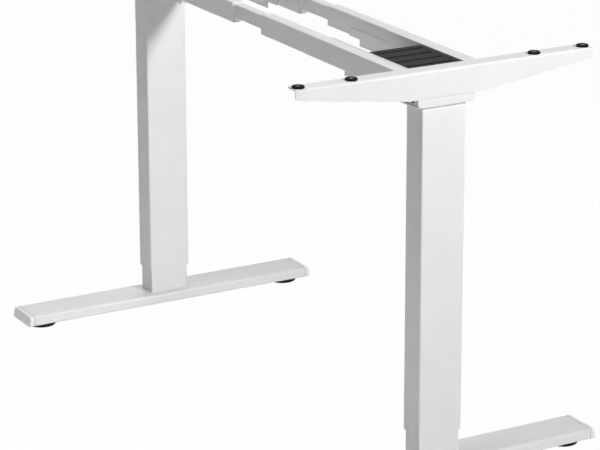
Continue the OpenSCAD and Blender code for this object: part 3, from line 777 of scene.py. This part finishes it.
def make_glide(side, end, looks):
    """Levelling glide: scalloped disc, hub and threaded stud."""
    node = side + "_glide_" + end
    low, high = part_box(node)
    centre = Vector(((low.x + high.x) / 2, (low.y + high.y) / 2, 0))
    radius = (high.x - low.x) / 2
    profile = [(share * radius, height) for share, height in GLIDE_SOLE]
    profile += [(share * radius, rise * GLIDE_DISC) for share, rise in GLIDE_RIM + GLIDE_HUB]
    profile += stud_points(high.z)
    swells = {len(GLIDE_SOLE) + k: rib_swell for k in range(len(GLIDE_RIM))}
    bm = bmesh.new()
    revolve(bm, centre, profile, GLIDE_SEGMENTS, swells)
    body = side + "_" + end + "_glide"
    make_piece(side + "_" + end + "_glide_disc", bm, looks, "black_plastic", body, [node])


# Spindles


SPINDLE_RADIUS = 6 * MM
SPINDLE_SEGMENTS = 48
SPINDLE_PITCH = 8 * MM
SPINDLE_FOOT = 8 * MM
SPINDLE_NECK = 46 * MM
SPINDLE_STEP = 0.6 * MM
SPINDLE_EDGE = 0.8 * MM
STOP_HEIGHT = 5 * MM
STOP_EDGE = 0.5 * MM
RUNOUT_LENGTH = 3 * MM
RUNOUT_STEP = 0.1 * MM
THREAD_DEPTH = 1.2 * MM
THREAD_STARTS = 2
THREAD_STEPS = 24
THREAD_ROWS = 6
THREAD_STEEPNESS = 2.2


def thread_ring(bm, centre, z):
    """One ring of the thread, turned with its height z."""
    turn = 2 * math.pi * z / (SPINDLE_PITCH * THREAD_STARTS)

    def crest(angle):
        """Flat crests and roots, with steep flanks between them."""
        wave = math.sin(THREAD_STARTS * (angle - turn))
        level = max(-1, min(1, THREAD_STEEPNESS * wave))
        return 1 - (THREAD_DEPTH / SPINDLE_RADIUS) * (0.5 - 0.5 * level)

    return ring(bm, centre, SPINDLE_RADIUS, z, THREAD_STEPS, crest)


def spindle_thread(bm, centre, first, last):
    """The threaded stretch of a spindle, from the height first to the height last."""
    rows = int((last - first) / (SPINDLE_PITCH / THREAD_ROWS))
    loft(bm, [thread_ring(bm, centre, first + (last - first) * row / rows) for row in range(rows + 1)])


def make_spindle(side, looks):
    """Spindle with a two-start thread, ground ends and a stop disc."""
    node = side + "_spindle"
    low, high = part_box(node)
    centre = Vector(((low.x + high.x) / 2, (low.y + high.y) / 2, 0))
    stop = (high.x - low.x) / 2
    core = SPINDLE_RADIUS - SPINDLE_STEP
    first, last = low.z + SPINDLE_FOOT, high.z - SPINDLE_NECK
    foot = [
        (stop - STOP_EDGE, low.z), (stop, low.z + STOP_EDGE), (stop, low.z + (STOP_HEIGHT - STOP_EDGE)),
        (stop - STOP_EDGE, low.z + STOP_HEIGHT), (core, low.z + STOP_HEIGHT), (core, first)]
    neck = [
        (SPINDLE_RADIUS - THREAD_DEPTH, last), (SPINDLE_RADIUS - RUNOUT_STEP, last + RUNOUT_LENGTH / 2),
        (SPINDLE_RADIUS, last + RUNOUT_LENGTH), (SPINDLE_RADIUS, high.z - SPINDLE_EDGE),
        (SPINDLE_RADIUS - SPINDLE_EDGE, high.z)]
    bm = bmesh.new()
    revolve(bm, centre, foot, SPINDLE_SEGMENTS)
    revolve(bm, centre, neck, SPINDLE_SEGMENTS)
    spindle_thread(bm, centre, first, last)
    make_piece(side + "_spindle_thread", bm, looks, "bright_steel", side + "_screw", [node])


def make_details(looks):
    """Makes the pieces that take the place of CAD nodes, and the eyelets."""
    make_far_sleeves(looks)
    for side in SIDES:
        make_pads(side, looks)
        make_eyelets(side, looks)
        make_spindle(side, looks)
        for end in ENDS:
            make_cap(side, end, looks)
            make_glide(side, end, looks)


# Floor and sky


FLOOR_RADIUS = 40.0
FLOOR_SEGMENTS = 96
FLOOR_DROP = 0.2 * MM
FLOOR_COLOUR = (0.9, 0.9, 0.9, 1)
FLOOR_GLOW_SHARE = 0.97
SKY_STRENGTH = 0.0
PALE_STRENGTH = 1.0
WHITE = (1, 1, 1, 1)


def pale_rays(tree):
    """1 for rays from the camera, and for mirror and glass rays, else 0."""
    path = tree.nodes.new("ShaderNodeLightPath")
    last = path.outputs["Is Camera Ray"]
    for name in ("Is Glossy Ray", "Is Transmission Ray"):
        most = tree.nodes.new("ShaderNodeMath")
        most.operation = "MAXIMUM"
        tree.links.new(last, most.inputs[0])
        tree.links.new(path.outputs[name], most.inputs[1])
        last = most.outputs["Value"]
    return last


def floor_look():
    """White paper that shows almost as pale as the sky, and keeps a little of its shading."""
    material = bpy.data.materials.new("floor_look")
    material.use_nodes = True
    tree = material.node_tree
    tree.nodes.clear()
    paper = tree.nodes.new("ShaderNodeBsdfDiffuse")
    paper.inputs["Color"].default_value = FLOOR_COLOUR
    glow = tree.nodes.new("ShaderNodeEmission")
    glow.inputs["Strength"].default_value = PALE_STRENGTH
    share = tree.nodes.new("ShaderNodeMath")
    share.operation = "MULTIPLY"
    share.inputs[1].default_value = FLOOR_GLOW_SHARE
    mix = tree.nodes.new("ShaderNodeMixShader")
    out = tree.nodes.new("ShaderNodeOutputMaterial")
    tree.links.new(pale_rays(tree), share.inputs[0])
    tree.links.new(share.outputs["Value"], mix.inputs["Fac"])
    tree.links.new(paper.outputs["BSDF"], mix.inputs[1])
    tree.links.new(glow.outputs["Emission"], mix.inputs[2])
    tree.links.new(mix.outputs["Shader"], out.inputs["Surface"])
    return material


def make_floor():
    """A round sheet just under the glides' soles."""
    mesh = bpy.data.meshes.new("floor")
    bm = bmesh.new()
    bmesh.ops.create_circle(bm, cap_ends=True, segments=FLOOR_SEGMENTS, radius=FLOOR_RADIUS)
    bm.to_mesh(mesh)
    bm.free()
    floor = bpy.data.objects.new("floor", mesh)
    bpy.context.scene.collection.objects.link(floor)
    floor.location.z = -FLOOR_DROP
    mesh.materials.append(floor_look())


def background(tree, strength):
    """The shader of a white sky."""
    made = tree.nodes.new("ShaderNodeBackground")
    made.inputs["Color"].default_value = WHITE
    made.inputs["Strength"].default_value = strength
    return made.outputs["Background"]


def make_world():
    """A sky that is white to the camera and in reflections, and gives no other light."""
    world = bpy.data.worlds.new("studio")
    bpy.context.scene.world = world
    world.use_nodes = True
    tree = world.node_tree
    tree.nodes.clear()
    mix = tree.nodes.new("ShaderNodeMixShader")
    out = tree.nodes.new("ShaderNodeOutputWorld")
    tree.links.new(pale_rays(tree), mix.inputs["Fac"])
    tree.links.new(background(tree, SKY_STRENGTH), mix.inputs[1])
    tree.links.new(background(tree, PALE_STRENGTH), mix.inputs[2])
    tree.links.new(mix.outputs["Shader"], out.inputs["Surface"])


# Lamps


# Place, target and size in metres, opening angle in degrees and power in watts
LAMPS = {
    "beam": ((4.0, 1.55, 2.55), (0.2, 0, 0.93), 0.6, 52, 15.2),
    "front": ((6.0, -0.6, 1.5), (0, 0, 0.4), 2.6, 180, 30),
    "top": ((-3.0, 0.3, 8.0), (0, 0, 0.4), 4.0, 180, 250),
    "bounce": ((0.2, -1.7, 2.4), (0.2, -1.5, 0), 1.6, 80, 9.6),
    "low": ((0.1, -1.4, 0.14), (0.1, 0, 0.16), 0.8, 180, 0.6),
}


def area_lamp(name, place, target, size, spread, watts):
    """A round lamp that looks from place to target; spread is its opening angle in degrees."""
    data = bpy.data.lights.new(name, "AREA")
    data.shape = "DISK"
    data.size = size
    data.spread = math.radians(spread)
    data.energy = watts
    lamp = bpy.data.objects.new(name, data)
    bpy.context.scene.collection.objects.link(lamp)
    lamp.visible_camera = False
    lamp.location = place
    lamp.rotation_mode = "QUATERNION"
    lamp.rotation_quaternion = (Vector(place) - Vector(target)).to_track_quat("Z", "Y")


# Camera


# Place and reach in metres, angles in degrees, lens and sensor in millimetres
CAMERA_PLACE = (4.16262, -2.31417, 1.82475)
CAMERA_REACH = 100
CAMERA_AZIMUTH = 60.297
CAMERA_ELEVATION = 17.122
CAMERA_LENS = 164.312
CAMERA_SENSOR = 36
CAMERA_SHIFT = (-0.02577, -0.05)


def make_camera():
    """A camera at the photo's viewpoint, which was found from the edges in the photo."""
    data = bpy.data.cameras.new("camera")
    data.sensor_width = CAMERA_SENSOR
    data.lens = CAMERA_LENS
    data.shift_x, data.shift_y = CAMERA_SHIFT
    data.clip_end = CAMERA_REACH
    camera = bpy.data.objects.new("camera", data)
    bpy.context.scene.collection.objects.link(camera)
    camera.location = CAMERA_PLACE
    tilt = math.radians(90 - CAMERA_ELEVATION)
    camera.rotation_euler = Euler((tilt, 0, math.radians(CAMERA_AZIMUTH)))
    bpy.context.scene.camera = camera


# Scene


finishes = make_materials()
dress_nodes(finishes)
make_details(finishes)
make_floor()
make_world()
for lamp_name, settings in LAMPS.items():
    area_lamp(lamp_name, *settings)
make_camera()
bpy.context.scene.view_settings.view_transform = "Standard"
